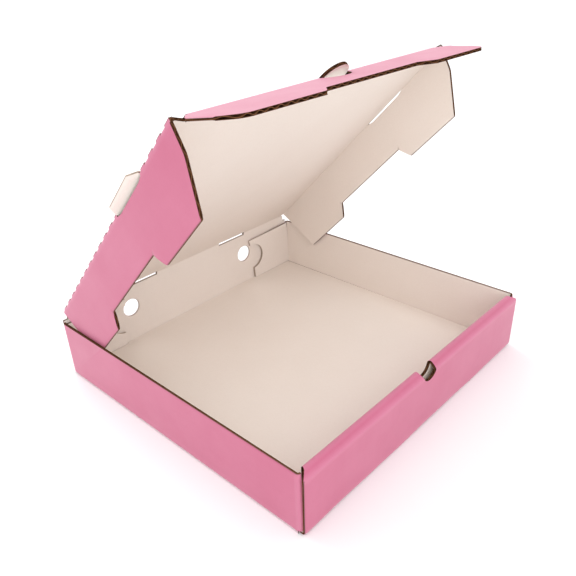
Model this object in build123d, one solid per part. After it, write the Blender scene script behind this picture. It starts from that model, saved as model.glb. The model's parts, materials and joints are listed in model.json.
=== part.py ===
from build123d import *
import os
from math import cos, radians, sin, tan

# Pizza box folded from one sheet of single-wall corrugated board.
# Origin: centre of the tray's footprint, on the surface that the box stands on.
# X runs along the hinge, the front wall is at -Y, +Z is up. Lengths in mm, angles in degrees.

# Board
board = 2.0
crease_radius = 0.2
layer_gap = 0.2
body_gap = 0.35

# Tray
tray_width = 229.0
tray_depth = 226.0
side_wall_height = 42.0
panel_inset = 0.8
back_wall_inset = 1.5

# Rolled front wall
front_wall_height = 42.0
front_lean = 0.8
band_angle = 35.0
roll_end_inset = 4.5
notch_radius = 7.5
lock_tab_width = 26.0
lock_tab_centre = 62.0
lock_slot_clear = 0.3
lock_tab_lift = 0.2

# Corner ears inside the front and back walls
front_ear_length = 44.0
front_ear_top_drop = 5.6
front_ear_corner = 6.0
rear_ear_length = 50.0
rear_ear_foot_length = 45.0
rear_ear_top_drop = 1.0
rear_ear_tip_drop = 2.6
bite_radius = 11.3
bite_height = 23.4
bite_inset = 46.3

# Back wall vents and hinge slots
vent_radius = 7.0
vent_spacing = 118.0
vent_height = 29.0
slot_inner = 32.0
slot_outer = 60.5
slot_cut = 1.0

# Lid
hinge_height = 48.8
lid_open_angle = 45.6
lid_side_clear = 0.7
tuck_clear = 0.7
hinge_relief_width = 4.0
hinge_relief_length = 1.4

# Lid side flaps, by distance from the hinge axis and depth below the lid's outer face
flap_depth = 41.6
flap_waist_depth = 31.8
heel_clear = 0.4
heel_rake = 10.4
waist_rear = 60.5
waist_rear_run = 7.8
waist_length = 89.5
waist_front_run = 6.0
flap_knee_depth = 16.4
flap_knee_run = 4.6
flap_toe_run = 21.5
knee_radius = 14.0
flap_corner = 1.0

# Cut and scored fold between the lid and its side flaps
score_pitch = 11.5
score_cut = 5.8
score_first = 7.5

# Vent tabs, which stand up from the lid's edges, and the slots under them
vent_tab_centre = 155.0
vent_tab_base = 40.0
vent_tab_tip = 30.0
vent_tab_length = 6.6
vent_tab_tilt = 30.0
vent_slot = 1.2
cut_kerf = 0.4

# Pull tab and the front flap that it is cut from
pull_tab_radius = 10.5
front_flap_angle = 39.3
front_flap_depth = 36.6
front_flap_waist_depth = 28.8
front_flap_waist = 78.0
front_flap_waist_run = 8.5
front_fold_inset = 10.0
front_flap_shoulder_depth = 9.0
front_flap_side_clear = 0.4
front_flap_taper = 3.0
front_flap_hip_depth = 24.0
front_flap_toe_inset = 9.8
front_flap_corner = 8.0
lug_depth = 3.6

# Flutes that show along the flaps' front edges
flute_pitch = 6.4
liner = 0.3
medium = 0.35
flute_pocket = 6.0

half = board / 2
bend = half + crease_radius
layer = board + layer_gap
half_width = tray_width / 2
half_depth = tray_depth / 2
inner_half = half_width - board

# Depths of the layers in the two double walls, from the tray's outer faces
front_ear_y = -half_depth + front_lean + layer + half
roll_y = front_ear_y + layer
rear_ear_y = half_depth - layer - half
hinge_y = half_depth - half
wall_top = hinge_height - half - body_gap

# Lid sizes that follow the tray
lid_half = inner_half - lid_side_clear
lid_flap_inner = lid_half - board
lid_length = hinge_y - (roll_y + half + tuck_clear + half)
lid_front = lid_length - half - body_gap
front_fold_half = lid_half - front_fold_inset
front_flap_side = lid_flap_inner - front_flap_side_clear
front_flap_toe = front_flap_side - front_flap_toe_inset


# Flat section of the sheet along a line of points, rounded at each fold
def sheet_section(points):
    return trace(FilletPolyline(*points, radius=bend), board)


# Sheet section drawn in YZ and as wide as the panel
def across(points, half_span):
    return extrude(Plane.YZ * sheet_section(points), amount=half_span, both=True)


# Sheet section drawn in XZ and as deep as the strip
def across_x(points, half_span):
    return extrude(Plane.XZ * sheet_section(points), amount=half_span, both=True)


# Closed outline on a plane, made as thick as asked to both sides of it
def plate(plane, points, half_thickness):
    return extrude(plane * make_face(Polyline(*points, close=True)), amount=half_thickness, both=True)


def box_between(low, high):
    size = [high[i] - low[i] for i in range(3)]
    middle = [(high[i] + low[i]) / 2 for i in range(3)]
    return Pos(*middle) * Box(*size)


def both_sides(shape):
    return shape + mirror(shape, about=Plane.YZ)


# Floor with the folds along its two sides
def floor_panel():
    wall_foot = board + layer_gap + crease_radius * 2
    edge = half_width - half
    folds = [(-edge, wall_foot), (-edge, half), (edge, half), (edge, wall_foot)]
    rear = rear_ear_y + half
    front = front_ear_y - half
    return Pos(0, (rear + front) / 2, 0) * across_x(folds, (rear - front) / 2)


# Right side wall with the ears that turn in at both of its ends
def side_wall():
    edge = half_width - half
    line = [
        (half_width - rear_ear_length, rear_ear_y),
        (edge, rear_ear_y),
        (edge, front_ear_y),
        (half_width - front_ear_length, front_ear_y),
    ]
    foot = board + layer_gap
    wall = Pos(0, 0, foot) * extrude(sheet_section(line), amount=side_wall_height - foot)
    return wall - rear_ear_waste() - front_ear_waste()


# What the die cuts off the rear ear: its sloping top, its raked end and the round bite
def rear_ear_waste():
    corner = half_width - board - crease_radius
    tip = half_width - rear_ear_length
    foot_tip = half_width - rear_ear_foot_length
    top = side_wall_height - rear_ear_top_drop
    tip_top = side_wall_height - rear_ear_tip_drop
    outside = tip - board
    over = side_wall_height + board
    above = [(outside, over), (outside, tip_top), (tip, tip_top), (corner, top), (corner, over)]
    beyond = [(outside, over), (tip, tip_top), (foot_tip, 0), (outside, 0)]
    layer_plane = Plane.XZ.offset(-rear_ear_y)
    bite = layer_plane * Pos(half_width - bite_inset, bite_height) * Circle(bite_radius)
    waste = plate(layer_plane, above, board) + plate(layer_plane, beyond, board)
    return waste + extrude(bite, amount=board, both=True)


# What the die cuts off the front ear, so that it lies under the sloping band
def front_ear_waste():
    corner = half_width - board - crease_radius
    tip = half_width - front_ear_length
    top = side_wall_height - front_ear_top_drop
    over = side_wall_height + board
    run = half
    foot = board + layer_gap
    outline = [
        (tip - board, over),
        (tip - board, 0),
        (tip + front_ear_corner / 2, 0),
        (tip + front_ear_corner / 2, foot),
        (tip, foot + front_ear_corner),
        (tip, top - front_ear_corner),
        (tip + front_ear_corner, top),
        (corner - run, top),
        (corner, over),
    ]
    return plate(Plane.XZ.offset(-front_ear_y), outline, board)


# Back wall, folded up from the floor, with round vents and the slots cut in its hinge
def back_wall():
    wall = across([(0, half), (hinge_y, half), (hinge_y, wall_top)], half_width - back_wall_inset)
    for side in (-1, 1):
        vent = Pos(side * vent_spacing / 2, hinge_y, vent_height) * Rot(90, 0, 0)
        wall -= vent * Cylinder(vent_radius, 2 * board)
    low = (slot_inner, hinge_y - board, wall_top - slot_cut)
    high = (slot_outer, hinge_y + board, hinge_height)
    return wall - both_sides(box_between(low, high))


# Heights of the two folds of the roll's sloping band, on the sheet's middle line
def band_folds():
    run = roll_y + half_depth - half
    crest = front_wall_height - bend - half + bend / tan(radians((90 - band_angle) / 2))
    return crest - run * tan(radians(band_angle)), crest


# Front wall: outer panel, sloping band and inner panel, rolled over the two front ears
def front_wall():
    shoulder, crest = band_folds()
    foot = board + layer_gap
    line = [
        (0, half),
        (-half_depth + front_lean + half, half),
        (-half_depth + half, shoulder),
        (roll_y, crest),
        (roll_y, foot),
    ]
    wall = across(line, half_width - panel_inset)
    roll_half = inner_half - roll_end_inset
    outside = half_width + board
    inner_end = box_between(
        (roll_half, roll_y - half - layer_gap, board),
        (outside, roll_y + board, front_wall_height + board),
    )
    taper = [
        (half_width - panel_inset, -half_depth + half),
        (roll_half, roll_y - half),
        (outside, roll_y - half),
        (outside, -half_depth + half),
    ]
    band_end = Pos(0, 0, shoulder) * extrude(make_face(Polyline(*taper, close=True)), amount=2 * board + half)
    return wall - both_sides(inner_end + band_end)


# Tabs that lock the inner front panel into the floor, or with a clearance the slots they enter
def lock_tabs(clear, foot, top):
    half_tab = lock_tab_width / 2 + clear
    low = (lock_tab_centre - half_tab, roll_y - half - clear, foot)
    high = (lock_tab_centre + half_tab, roll_y + half + clear, top)
    return both_sides(box_between(low, high))


def make_tray():
    tray = floor_panel() + both_sides(side_wall()) + back_wall() + front_wall()
    tray -= Pos(0, roll_y, front_wall_height) * Rot(90, 0, 0) * Cylinder(notch_radius, 8 * board)
    tray -= lock_tabs(lock_slot_clear, -board, board + layer_gap)
    return tray + lock_tabs(0, lock_tab_lift, 2 * board)


# Lid panel in the lid's own frame: hinge axis at the origin, front at -Y
def lid_panel():
    relief = lid_half - hinge_relief_width
    fold = front_fold_half
    outline = [
        (0, 0),
        (relief, 0),
        (relief, -hinge_relief_length),
        (lid_half, -hinge_relief_length),
        (lid_half, -lid_length - half),
        (fold + cut_kerf, -lid_length + lug_depth),
        (fold - cut_kerf, -lid_length + lug_depth),
        (fold - cut_kerf, -lid_front),
        (0, -lid_front),
    ]
    panel = both_sides(plate(Plane.XY, outline, half))
    hinge_round = Rot(0, 90, 0) * Cylinder(half, 2 * relief)
    slot = box_between((slot_inner, -slot_cut, -board), (slot_outer, board, board))
    return panel + hinge_round - both_sides(slot)


# Outline of a side flap in YZ: raked heel, waist with slanted ends, and a knee at the front
def side_flap_outline():
    face = half
    foot = face - flap_depth
    waist = face - flap_waist_depth
    heel = hinge_y - half_depth + board + heel_clear
    fold_front = -lid_length - half
    waist_front = -waist_rear - waist_length
    return FilletPolyline(
        (-heel, face),
        (-heel - heel_rake, foot),
        (-waist_rear, foot),
        (-waist_rear - waist_rear_run, waist),
        (waist_front + waist_front_run, waist),
        (waist_front, foot),
        (fold_front + flap_toe_run, foot),
        (fold_front + flap_knee_run, face - flap_knee_depth),
        (fold_front, face),
        radius=[flap_corner] * 6 + [knee_radius],
    )


# Right side flap, square to the panel
def side_flap():
    edge = side_flap_outline()
    face = make_face(edge + Line(edge @ 1, edge @ 0))
    return Pos(lid_flap_inner, 0, 0) * extrude(Plane.YZ * face, amount=board)


# What the die cuts from the fold at a vent tab: the panel's edge there and the slot under it
def vent_window():
    base = vent_tab_base / 2
    tip = vent_tab_tip / 2
    low = -half - vent_slot
    window = [
        (-vent_tab_centre - base, board),
        (-vent_tab_centre - base, -half),
        (-vent_tab_centre - tip, low),
        (-vent_tab_centre + tip, low),
        (-vent_tab_centre + base, -half),
        (-vent_tab_centre + base, board),
    ]
    return Pos(lid_flap_inner + board, 0, 0) * plate(Plane.YZ, window, board)


# Vent tab, bent up from the panel's edge
def vent_tab():
    rise = radians(vent_tab_tilt)
    reach = lid_flap_inner + vent_tab_length * cos(rise)
    root = lid_flap_inner - board
    line = [(root, 0), (lid_flap_inner, 0), (reach, vent_tab_length * sin(rise))]
    strip = Pos(0, -vent_tab_centre, 0) * across_x(line, vent_tab_base / 2)
    base = vent_tab_base / 2
    tip = vent_tab_tip / 2
    plan = [
        (root, -vent_tab_centre - base),
        (lid_half, -vent_tab_centre - base),
        (reach, -vent_tab_centre - tip),
        (reach, -vent_tab_centre + tip),
        (lid_half, -vent_tab_centre + base),
        (root, -vent_tab_centre + base),
    ]
    return strip & plate(Plane.XY, plan, vent_tab_length)


# What the fold rounds off where it is scored; the cut stretches between keep a square edge
def scored_rounding():
    radius = board + crease_radius
    corner = Pos(lid_half - radius / 2 + half, half - radius / 2 + half)
    square = corner * Rectangle(radius + board, radius + board)
    round_part = Pos(lid_half - radius, half - radius) * Circle(radius)
    waste = extrude(Plane.XZ * (square - round_part), amount=lid_length + board)
    centre = score_first
    while centre < lid_length:
        waste -= score_block(centre, score_cut)
        centre += score_pitch
    return waste


# Block over the fold that keeps one stretch of it square
def score_block(centre, length):
    low = (lid_flap_inner - board, -centre - length / 2, -2 * board)
    high = (lid_half + 2 * board, -centre + length / 2, 2 * board)
    return box_between(low, high)


# Hollow flutes that the knife opened along the right side flap's front edge, both rows
def side_flap_flutes():
    hollows = []
    count = int(flap_depth / flute_pitch)
    for i in range(1, count):
        for side in (-1, 1):
            depth = (i + side / 4) * flute_pitch
            mouth = flute_pocket - lid_length - half + side_flap_edge(depth)
            place = Pos(lid_flap_inner + half, mouth, half) * Rot(0, 90, 0)
            hollows.append(place * flute_hollow(depth, side))
    return Compound(hollows)


# Half-moon at the middle of a front fold, reaching back to the panel's edge
def half_moon(radius, back):
    moon = Circle(radius) & (Pos(0, -radius) * Rectangle(2 * radius, 2 * radius))
    neck = Pos(0, back / 2) * Rectangle(2 * radius, back)
    return moon + neck


def make_lid():
    flap = side_flap() - side_flap_flutes()
    lid = lid_panel() + both_sides(flap) - both_sides(scored_rounding() + vent_window())
    lid += both_sides(vent_tab())
    tab = extrude(half_moon(pull_tab_radius, lid_length - lid_front), amount=half, both=True)
    return lid + Pos(0, -lid_length, 0) * tab


# Depth of the front flap's free edge at a distance from its middle
def front_flap_edge(x):
    waist = front_flap_waist / 2
    share = min(max((abs(x) - waist) / front_flap_waist_run, 0), 1)
    return front_flap_waist_depth + share * (front_flap_depth - front_flap_waist_depth)


# Setback of a side flap's front edge at a depth below the lid's outer face
def side_flap_edge(depth):
    if depth < flap_knee_depth:
        return flap_knee_run * depth / flap_knee_depth
    share = (depth - flap_knee_depth) / (flap_depth - flap_knee_depth)
    return flap_knee_run + share * (flap_toe_run - flap_knee_run)


# Hollow of one flute, its mouth at y = 0 and its middle at x, against the upper or lower liner
def flute_hollow(x, side):
    width = flute_pitch / 2 - medium
    face = half - liner
    tip = face - (board - 2 * liner - medium)
    flute = Polyline((x - width, side * face), (x + width, side * face), (x, side * tip), close=True)
    return extrude(Plane.XZ * make_face(flute), amount=flute_pocket + board)


# Front flap laid flat, its fold along X and its free edge towards -Y
def front_flap_blank():
    side = front_flap_side
    waist = front_flap_waist / 2
    edge = FilletPolyline(
        (front_fold_half, 0),
        (side, -front_flap_shoulder_depth),
        (side - front_flap_taper, -front_flap_hip_depth),
        (front_flap_toe, -front_flap_depth),
        (waist + front_flap_waist_run, -front_flap_depth),
        (waist, -front_flap_waist_depth),
        (0, -front_flap_waist_depth),
        radius=[front_flap_corner / 4, front_flap_corner, front_flap_corner, flap_corner, flap_corner],
    )
    face = make_face(edge + Line(edge @ 1, (0, 0)) + Line((0, 0), edge @ 0))
    flap = both_sides(extrude(face, amount=half, both=True))
    fold_round = Rot(0, 90, 0) * Cylinder(half, 2 * front_fold_half)
    moon = half_moon(pull_tab_radius + cut_kerf, board)
    return flap + fold_round - extrude(moon, amount=board, both=True)


# Hollow flutes that the knife opened along the front flap's free edge, both rows
def front_flap_flutes():
    hollows = []
    count = int(front_flap_toe / flute_pitch)
    for i in range(-count, count + 1):
        for side in (-1, 1):
            x = (i + side / 4) * flute_pitch
            hollows.append(Pos(0, flute_pocket - front_flap_edge(x), 0) * flute_hollow(x, side))
    return Compound(hollows)


def make_front_flap():
    return front_flap_blank() - front_flap_flutes()


def main():
    os.makedirs("parts", exist_ok=True)
    lid_place = Pos(0, hinge_y, hinge_height) * Rot(-lid_open_angle, 0, 0)
    flap_place = lid_place * Pos(0, -lid_length, 0) * Rot(front_flap_angle, 0, 0)
    export_step(make_tray(), "parts/tray.step")
    export_step(lid_place * make_lid(), "parts/lid.step")
    export_step(flap_place * make_front_flap(), "parts/front_flap.step")


main()
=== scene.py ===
import json
import math

import bmesh
import bpy
from mathutils import Matrix, Vector
from mathutils.geometry import delaunay_2d_cdt


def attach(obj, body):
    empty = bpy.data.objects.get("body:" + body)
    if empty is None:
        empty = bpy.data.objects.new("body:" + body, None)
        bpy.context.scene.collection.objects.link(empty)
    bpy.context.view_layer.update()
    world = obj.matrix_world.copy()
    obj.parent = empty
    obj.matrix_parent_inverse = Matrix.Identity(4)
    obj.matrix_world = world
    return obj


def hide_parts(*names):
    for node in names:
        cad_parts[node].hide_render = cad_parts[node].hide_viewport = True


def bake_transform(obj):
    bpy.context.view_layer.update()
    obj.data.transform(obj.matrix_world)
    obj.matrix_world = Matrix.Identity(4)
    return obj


mm = 0.001
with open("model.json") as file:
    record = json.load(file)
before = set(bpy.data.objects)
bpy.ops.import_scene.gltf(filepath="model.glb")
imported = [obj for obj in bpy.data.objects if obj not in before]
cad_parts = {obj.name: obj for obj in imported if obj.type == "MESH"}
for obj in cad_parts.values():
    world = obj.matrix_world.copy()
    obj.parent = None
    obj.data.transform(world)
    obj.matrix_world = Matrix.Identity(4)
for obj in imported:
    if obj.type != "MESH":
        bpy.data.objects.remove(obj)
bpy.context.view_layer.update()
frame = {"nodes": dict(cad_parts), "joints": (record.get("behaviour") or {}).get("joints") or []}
joints = {joint["name"]: joint for joint in frame["joints"]}
print("frame loaded:", ", ".join(sorted(frame["nodes"])))

# Corrugated board. Lengths in millimetres and angles in degrees, turned to metres when a mesh is made.
board = {
    "thickness": 2.0,
    "liner": 0.3,
    "medium": 0.26,
    "mediumBite": 0.02,  # how far each flute's crest sinks into its liner
    "flutePitch": 6.4,
    "flutePhase": 3.2,
    "stepsPerFlute": 8,
    "bendRadius": 1.2,
    "bendSteps": 6,
    "crush": 0.5,  # share of the thickness lost where the knife crushed a cut edge
    "crushReach": 2.2,
    "crushShares": (0.3, 0.65, 1.0),  # lines of the mesh beside such an edge, as shares of crushReach
    "crushShortest": 3.5,  # a line is left out where its edge is shorter than this many times its distance
    "insideStep": 0.3,  # step off an edge that tells on which side the board lies
    "edgeBrownAndShadeReach": 0.66,  # how far the cut's brown and a painted shade along the crushed edge show on the faces
    "sharpAngle": 28,
    "cutTolerance": 1e-5,
    "cutMargin": 1e-3,  # no cut is made nearer to a region's side than this
    "joinTolerance": 0.002,
    "samePoint": 1e-4,
}
half = board["thickness"] / 2
bend = board["bendRadius"]
quarterArc = bend * math.pi / 2


# Straight runs joined by bends. "corners" holds the distance along the line to the middle of each bend, and
# "cuts" the distances where a mesh needs an edge.
def foldChain(points, outward):
    points = [Vector(p) for p in points]
    runs, cuts, corners = [], [], []
    start, length = points[0], 0.0
    for i in range(1, len(points) - 1):
        arriving = (points[i] - points[i - 1]).normalized()
        leaving = (points[i + 1] - points[i]).normalized()
        turn = math.atan2(arriving.x * leaving.y - arriving.y * leaving.x, arriving.dot(leaving))
        reach = bend * math.tan(abs(turn) / 2)
        arcStart = points[i] - arriving * reach
        straight = (arcStart - start).length
        runs.append((length, start, arriving, 0.0))
        length += straight
        arc = bend * abs(turn)
        runs.append((length, arcStart, arriving, math.copysign(1 / bend, turn)))
        steps = max(2, round(board["bendSteps"] * abs(turn) / (math.pi / 2)))
        cuts += [length + arc * k / steps for k in range(steps + 1)]
        corners.append(length + arc / 2)
        length += arc
        start = points[i] + leaving * reach
    last = (points[-1] - points[-2]).normalized()
    runs.append((length, start, last, 0.0))
    total = length + (points[-1] - start).length
    return {"runs": runs, "cuts": cuts, "corners": corners, "total": total, "outward": outward}


# Point and outward direction at a distance along a chain, pushed off the middle line by an offset
def alongChain(chain, distance, offset):
    run = chain["runs"][0]
    for candidate in chain["runs"]:
        if candidate[0] <= distance + 1e-9:
            run = candidate
    start, origin, direction, curvature = run
    travel = distance - start
    if curvature == 0:
        point, heading = origin + direction * travel, direction
    else:
        angle = travel * curvature
        side = Vector((-direction.y, direction.x))
        point = origin + (direction * math.sin(angle) + side * (1 - math.cos(angle))) / curvature
        heading = direction * math.cos(angle) + side * math.sin(angle)
    return point + Vector((-heading.y, heading.x)) * offset * chain["outward"]


# Distances along a chain where a straight coordinate (0 or 1) takes a value on its last run
def onLastRun(chain, axis, value):
    start, origin, direction = chain["runs"][-1][:3]
    return start + (value - origin[axis]) / direction[axis]


def arcPoints(centre, radius, fromAngle, toAngle, steps):
    angles = [math.radians(fromAngle + (toAngle - fromAngle) * k / steps) for k in range(steps + 1)]
    return [(centre[0] + radius * math.cos(a), centre[1] + radius * math.sin(a)) for a in angles]


# Outline with each inner corner rounded by its own radius; the two ends stay as they are
def roundCorners(points, radii, steps=5):
    rounded = [points[0]]
    for i in range(1, len(points) - 1):
        here = Vector(points[i])
        back = (Vector(points[i - 1]) - here).normalized()
        ahead = (Vector(points[i + 1]) - here).normalized()
        opening = back.angle(ahead)
        reach = radii[i - 1] / math.tan(opening / 2)
        first, last = here + back * reach, here + ahead * reach
        centre = here + (back + ahead).normalized() * radii[i - 1] / math.sin(opening / 2)
        for k in range(steps + 1):
            direction = (first - centre).lerp(last - centre, k / steps).normalized()
            rounded.append(tuple(centre + direction * radii[i - 1]))
    return rounded + [points[-1]]


def mirrored(points):
    return [(-x, y) for x, y in reversed(points)]


# Splits faces along a sorted list of straight lines, halving the list so that each line meets few faces
def sliceFaces(bm, faces, axis, lines):
    if not lines or not faces:
        return
    middle = len(lines) // 2
    at = lines[middle]
    parts = set(faces)
    for face in faces:
        parts.update(face.edges)
        parts.update(face.verts)
    planePoint, planeNormal = [0, 0, 0], [0, 0, 0]
    planePoint[axis], planeNormal[axis] = at, 1
    cut = bmesh.ops.bisect_plane(
        bm, geom=list(parts), dist=board["cutTolerance"], plane_co=planePoint, plane_no=planeNormal,
    )
    pieces = [part for part in cut["geom"] if isinstance(part, bmesh.types.BMFace)]
    below = [f for f in pieces if f.calc_center_median()[axis] < at]
    above = [f for f in pieces if f.calc_center_median()[axis] >= at]
    sliceFaces(bm, below, axis, lines[:middle])
    sliceFaces(bm, above, axis, lines[middle + 1:])


# Inside the outline and outside its holes: an odd number of edges to the right of the point
def insideLoops(point, loops):
    inside = False
    for loop in loops:
        for (x1, y1), (x2, y2) in zip(loop, loop[1:] + loop[:1]):
            if (y1 > point.y) != (y2 > point.y) and point.x < x1 + (point.y - y1) * (x2 - x1) / (y2 - y1):
                inside = not inside
    return inside


# Distance to the nearest crushed edge, or the reach of the crushing where that is less
def edgeDistance(x, y, crushed):
    nearest = board["crushReach"]
    for (x1, y1), (x2, y2) in crushed:
        along = ((x - x1) * (x2 - x1) + (y - y1) * (y2 - y1)) / ((x2 - x1) ** 2 + (y2 - y1) ** 2)
        along = min(max(along, 0.0), 1.0)
        nearest = min(nearest, math.dist((x, y), (x1 + along * (x2 - x1), y1 + along * (y2 - y1))))
    return nearest


# Lines beside a crushed edge where the mesh needs vertices
def crushGuides(crushed, loops):
    guides = []
    for start, end in crushed:
        start, end = Vector(start), Vector(end)
        along = (end - start).normalized()
        inward = Vector((-along.y, along.x))
        if not insideLoops((start + end) / 2 + inward * board["insideStep"], loops):
            inward = -inward
        for share in board["crushShares"]:
            reach = board["crushReach"] * share
            if (end - start).length > board["crushShortest"] * reach:
                guides.append((start + along * reach + inward * reach, end - along * reach + inward * reach))
    return guides


# Flat mesh of a region, cut along its folds, beside its crushed edges and, for the medium, along its flutes
def flatRegion(region, flutes):
    loops = [region["outline"]] + region.get("holes", [])
    points = [Vector(p) for loop in loops for p in loop]
    edges, first = [], 0
    for loop in loops:
        edges += [(first + k, first + (k + 1) % len(loop)) for k in range(len(loop))]
        first += len(loop)
    outlineEdges = len(edges)
    for line in crushGuides(region.get("crushed", []), loops) + region.get("guides", []):
        edges += [(len(points) + k, len(points) + k + 1) for k in range(len(line) - 1)]
        points += [Vector(p) for p in line]
    result = delaunay_2d_cdt(points, edges, [], 0, board["cutTolerance"], True)
    verts, made, faces, sources = result[0], result[1], result[2], result[4]
    bm = bmesh.new()
    corners = [bm.verts.new((v.x, v.y, 0)) for v in verts]
    for face in faces:
        middle = sum((verts[k] for k in face), Vector((0, 0))) / len(face)
        if insideLoops(middle, loops):
            bm.faces.new([corners[k] for k in face])
    for (a, b), source in zip(made, sources):
        edge = bm.edges.get((corners[a], corners[b]))
        if edge and source and min(source) >= outlineEdges:
            edge.seam = True
    bmesh.ops.dissolve_limit(bm, angle_limit=0.001, verts=bm.verts, edges=bm.edges, delimit={"SEAM"})
    loose = [v for v in bm.verts if not v.link_faces]
    bmesh.ops.delete(bm, geom=loose, context="VERTS")
    for axis in (0, 1):
        low = min(p[axis] for p in region["outline"])
        high = max(p[axis] for p in region["outline"])
        lines = set(round(c, 5) for c in region["cuts"][axis])
        if axis == 0 and flutes:
            step = board["flutePitch"] / board["stepsPerFlute"]
            lowest, highest = math.ceil(low / step), math.floor(high / step)
            lines.update(round(k * step, 5) for k in range(lowest, highest + 1))
        margin = board["cutMargin"]
        sliceFaces(bm, bm.faces[:], axis, sorted(c for c in lines if low + margin < c < high - margin))
    return bm


# A layer of board over the blank's regions, folded by each region's own place function
def foldLayer(regions, offset, flutes):
    sheet = bmesh.new()
    uvLayer = sheet.loops.layers.uv.new("blank")
    creaseLayer = sheet.verts.layers.float.new("crease")
    paintedEdgeLightLayer = sheet.verts.layers.float.new("paintedEdgeLight")
    edgeBrownAndShadeLayer = sheet.verts.layers.float.new("edgeBrownAndShade")
    outwardLayer = sheet.verts.layers.float_vector.new("outward")
    for region in regions:
        bm = flatRegion(region, flutes)
        crushed = region.get("crushed", [])
        blank = {v: (v.co.x, v.co.y) for v in bm.verts}
        twins = {}
        for v, (x, y) in blank.items():
            distance = edgeDistance(x, y, crushed)
            left = 1 - board["crush"] * (1 - distance / board["crushReach"]) ** 2
            twins[v] = sheet.verts.new(region["place"](x, y, offset * left) * mm)
            # fold mark: painted highlight on the print and painted shade on the inside liner
            twins[v][creaseLayer] = region["crease"](x, y)
            # painted light over shaded cut layers
            twins[v][paintedEdgeLightLayer] = region["paintedEdgeLight"](x, y) if "paintedEdgeLight" in region else 0.0
            # the cut's brown and painted shade near crushed edges, less where edge light is painted
            twins[v][edgeBrownAndShadeLayer] = max(0.0, 1 - distance / board["edgeBrownAndShadeReach"]) * (1 - twins[v][paintedEdgeLightLayer])
            twins[v][outwardLayer] = (region["place"](x, y, left) - region["place"](x, y, 0.0)) * mm
        probe = max(bm.faces, key=lambda f: f.calc_area())
        x, y = probe.calc_center_median()[:2]
        outward = region["place"](x, y, 1.0) - region["place"](x, y, 0.0)
        for face in bm.faces:
            loop = [twins[v] for v in face.verts]
            new = sheet.faces.new(loop)
            for corner, v in zip(new.loops, face.verts):
                corner[uvLayer].uv = (blank[v][0] * mm, blank[v][1] * mm)
            if face is probe:
                new.normal_update()
                facing = new.normal.dot(outward) > 0
        if not facing:
            start = len(sheet.faces) - len(bm.faces)
            sheet.faces.ensure_lookup_table()
            bmesh.ops.reverse_faces(sheet, faces=sheet.faces[start:])
        bm.free()
    bmesh.ops.remove_doubles(sheet, verts=sheet.verts, dist=board["joinTolerance"] * mm)
    return sheet


# Geometry nodes that press a sheet into flutes: a sine wave along the blank's X, out of the sheet's own plane
def makeFluteTree():
    tree = bpy.data.node_groups.new("pressFlutes", "GeometryNodeTree")
    tree.is_modifier = True
    socket = tree.interface.new_socket
    socket("Sheet", in_out="INPUT", socket_type="NodeSocketGeometry")
    for label in ("Pitch", "Phase", "Height"):
        socket(label, in_out="INPUT", socket_type="NodeSocketFloat")
    socket("Board", in_out="INPUT", socket_type="NodeSocketMaterial")
    socket("Fluted", in_out="OUTPUT", socket_type="NodeSocketGeometry")
    given, out = tree.nodes.new("NodeGroupInput"), tree.nodes.new("NodeGroupOutput")
    link = tree.links.new

    def named(name, kind):
        node = addNode(tree, "GeometryNodeInputNamedAttribute", {"Name": name}, data_type=kind)
        return node.outputs["Attribute"]

    def maths(operation, first, second=None):
        node = addNode(tree, "ShaderNodeMath", operation=operation)
        link(first, node.inputs[0])
        if second is not None:
            link(second, node.inputs[1])
        return node.outputs[0]

    split = tree.nodes.new("ShaderNodeSeparateXYZ")
    link(named("blank", "FLOAT_VECTOR"), split.inputs[0])
    turns = maths("DIVIDE", maths("ADD", split.outputs["X"], given.outputs["Phase"]), given.outputs["Pitch"])
    wave = addNode(tree, "ShaderNodeMath", {1: math.tau}, operation="MULTIPLY")
    link(turns, wave.inputs[0])
    height = maths("MULTIPLY", maths("SINE", wave.outputs[0]), given.outputs["Height"])
    push = addNode(tree, "ShaderNodeVectorMath", operation="SCALE")
    link(named("outward", "FLOAT_VECTOR"), push.inputs[0])
    link(height, push.inputs["Scale"])
    moved = tree.nodes.new("GeometryNodeSetPosition")
    real = tree.nodes.new("GeometryNodeRealizeInstances")
    painted = tree.nodes.new("GeometryNodeSetMaterial")
    link(given.outputs["Sheet"], moved.inputs["Geometry"])
    link(push.outputs["Vector"], moved.inputs["Offset"])
    link(moved.outputs["Geometry"], real.inputs["Geometry"])
    link(real.outputs["Geometry"], painted.inputs["Geometry"])
    link(given.outputs["Board"], painted.inputs["Material"])
    link(painted.outputs["Geometry"], out.inputs["Fluted"])
    return tree


def pressFlutes(sheet, name):
    mesh = bpy.data.meshes.new(name)
    sheet.to_mesh(mesh)
    sheet.free()
    flat = bpy.data.objects.new(name, mesh)
    bpy.context.scene.collection.objects.link(flat)
    press = flat.modifiers.new("flutes", "NODES")
    press.node_group = fluteTree
    inputs = {item.name: item.identifier for item in fluteTree.interface.items_tree if item.in_out == "INPUT"}
    press[inputs["Pitch"]] = board["flutePitch"] * mm
    press[inputs["Phase"]] = board["flutePhase"] * mm
    press[inputs["Height"]] = half - board["liner"] - board["medium"] / 2 + board["mediumBite"]
    press[inputs["Board"]] = fluteMedium
    solidify = flat.modifiers.new("paper", "SOLIDIFY")
    solidify.thickness = board["medium"] * mm
    solidify.offset = 0
    solidify.use_even_offset = False
    return flat


def sheetObject(name, sheet, thickness, side, materials):
    mesh = bpy.data.meshes.new(name)
    sheet.to_mesh(mesh)
    sheet.free()
    made = bpy.data.objects.new(name, mesh)
    bpy.context.scene.collection.objects.link(made)
    for material in materials:
        mesh.materials.append(material)
    solidify = made.modifiers.new("liner", "SOLIDIFY")
    solidify.thickness = thickness * mm
    solidify.offset = side
    solidify.use_even_offset = False
    solidify.use_quality_normals = True
    if len(materials) > 1:
        solidify.material_offset = 1
        solidify.material_offset_rim = 2
    return made


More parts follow.
